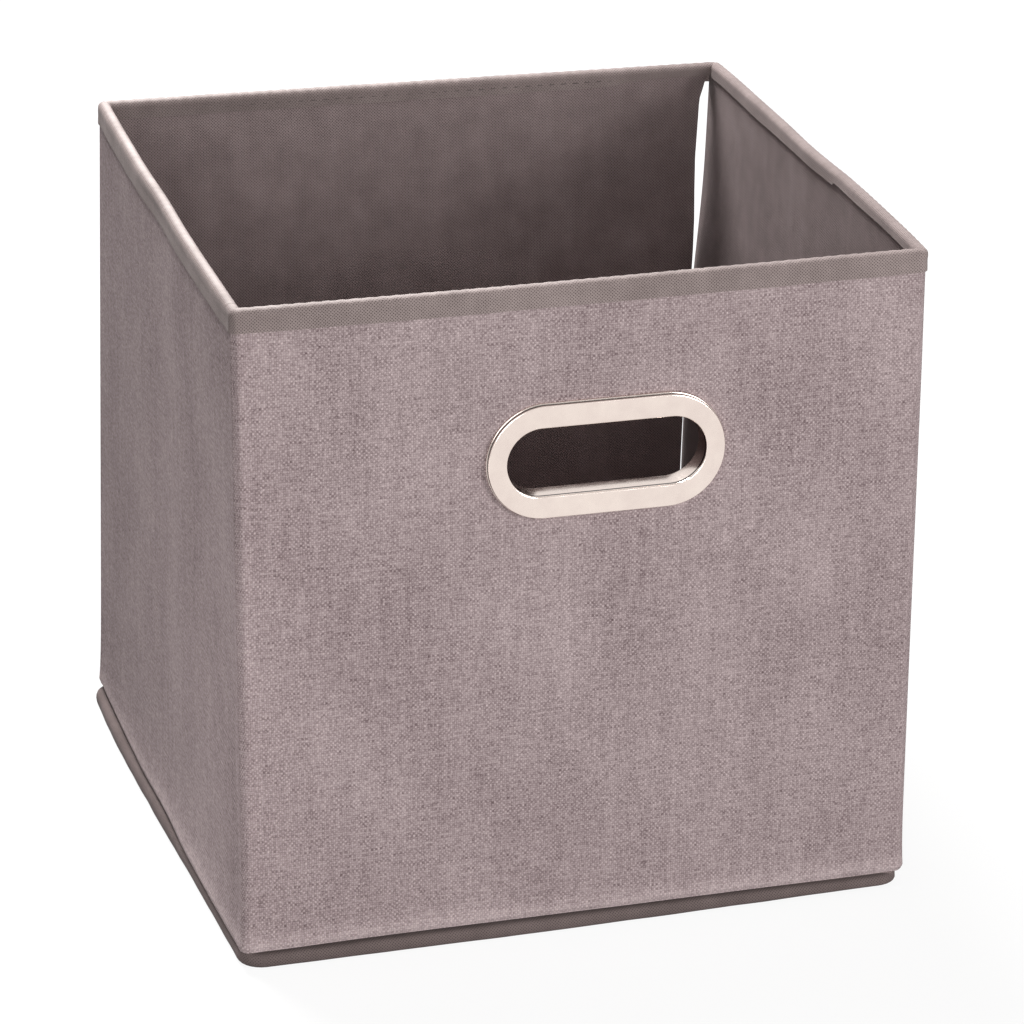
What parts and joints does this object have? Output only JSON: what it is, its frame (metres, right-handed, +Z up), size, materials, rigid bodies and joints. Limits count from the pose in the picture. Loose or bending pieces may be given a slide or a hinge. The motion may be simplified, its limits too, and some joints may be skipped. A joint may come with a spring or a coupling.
{
  "type": "fabric storage bin",
  "caption": "Square open-top fabric storage bin with stiffened walls, taped rim, metal hand slot in the front and a loose base insert; its side walls fold in so it packs flat.",
  "frame": {"origin": "middle of the base cloth, on the surface the bin stands on", "axes": "+Z up out of the open top, -Y out of the front wall with the hand slot, +X to the right seen from the front"},
  "size_m": [0.31, 0.3121, 0.31],
  "materials": {
    "woven_cloth": "matte linen-look weave",
    "nonwoven_lining": "matte point-bonded non-woven",
    "binding_tape": "matte point-bonded non-woven tape",
    "stiffener_board": "uncoated grey-brown board",
    "nickel_plate": "polished warm nickel plate on pressed steel"
  },
  "bodies": {
    "front_and_base": {"base_cloth": "nonwoven_lining", "base_seam_back": "binding_tape", "base_seam_front": "binding_tape", "base_seam_left": "binding_tape", "base_seam_right": "binding_tape", "front_board": "stiffener_board", "front_left_corner_cloth": "woven_cloth", "front_left_corner_lining": "nonwoven_lining", "front_lining": "nonwoven_lining", "front_outer_cloth": "woven_cloth", "front_right_corner_cloth": "woven_cloth", "front_right_corner_lining": "nonwoven_lining", "front_rim_tape": "binding_tape", "handle_eyelet": "nickel_plate", "handle_washer": "nickel_plate"},
    "left_front_half": {"left_crease_cloth": "woven_cloth", "left_crease_lining": "nonwoven_lining", "left_front_board": "stiffener_board", "left_front_lining": "nonwoven_lining", "left_front_outer_cloth": "woven_cloth", "left_front_rim_tape": "binding_tape"},
    "left_rear_half": {"back_left_corner_cloth": "woven_cloth", "back_left_corner_lining": "nonwoven_lining", "left_rear_board": "stiffener_board", "left_rear_lining": "nonwoven_lining", "left_rear_outer_cloth": "woven_cloth", "left_rear_rim_tape": "binding_tape"},
    "back_wall": {"back_board": "stiffener_board", "back_lining": "nonwoven_lining", "back_outer_cloth": "woven_cloth", "back_rim_tape": "binding_tape"},
    "right_front_half": {"right_crease_cloth": "woven_cloth", "right_crease_lining": "nonwoven_lining", "right_front_board": "stiffener_board", "right_front_lining": "nonwoven_lining", "right_front_outer_cloth": "woven_cloth", "right_front_rim_tape": "binding_tape"},
    "right_rear_half": {"right_rear_board": "stiffener_board", "right_rear_lining": "nonwoven_lining", "right_rear_outer_cloth": "woven_cloth", "right_rear_rim_tape": "binding_tape"},
    "base_insert": {"insert_board": "stiffener_board", "insert_cover": "nonwoven_lining"}
  },
  "joints": [
    {"name": "left_front_fold", "type": "hinge", "parent": "front_and_base", "child": "left_front_half", "pos_m": [-0.1493, -0.1493, 0], "axis": [0, 0, -1], "range_deg": [0, 87], "deforming": ["front_left_corner_cloth", "front_left_corner_lining", "base_cloth", "base_seam_left", "base_seam_right", "base_seam_back"]},
    {"name": "left_crease_fold", "type": "hinge", "parent": "left_front_half", "child": "left_rear_half", "pos_m": [-0.155, 0, 0], "axis": [0, 0, 1], "range_deg": [0, 174], "deforming": ["left_crease_cloth", "left_crease_lining"]},
    {"name": "back_left_fold", "type": "hinge", "parent": "left_rear_half", "child": "back_wall", "pos_m": [-0.1493, 0.1493, 0], "axis": [0, 0, -1], "range_deg": [0, 87], "deforming": ["back_left_corner_cloth", "back_left_corner_lining"]},
    {"name": "right_front_fold", "type": "hinge", "parent": "front_and_base", "child": "right_front_half", "pos_m": [0.1493, -0.1493, 0], "axis": [0, 0, 1], "range_deg": [0, 87], "deforming": ["front_right_corner_cloth", "front_right_corner_lining"]},
    {"name": "right_crease_fold", "type": "hinge", "parent": "right_front_half", "child": "right_rear_half", "pos_m": [0.155, 0, 0], "axis": [0, 0, -1], "range_deg": [0, 174], "deforming": ["right_crease_cloth", "right_crease_lining"]},
    {"name": "insert_lift", "type": "slide", "parent": "front_and_base", "child": "base_insert", "axis": [0, 0, 1], "range_m": [0, 0.32]}
  ],
  "couplings": [
    {"joint": "left_crease_fold", "follows": "left_front_fold", "ratio": 2},
    {"joint": "back_left_fold", "follows": "left_front_fold", "ratio": 1},
    {"joint": "right_front_fold", "follows": "left_front_fold", "ratio": 1},
    {"joint": "right_crease_fold", "follows": "left_front_fold", "ratio": 2}
  ]
}
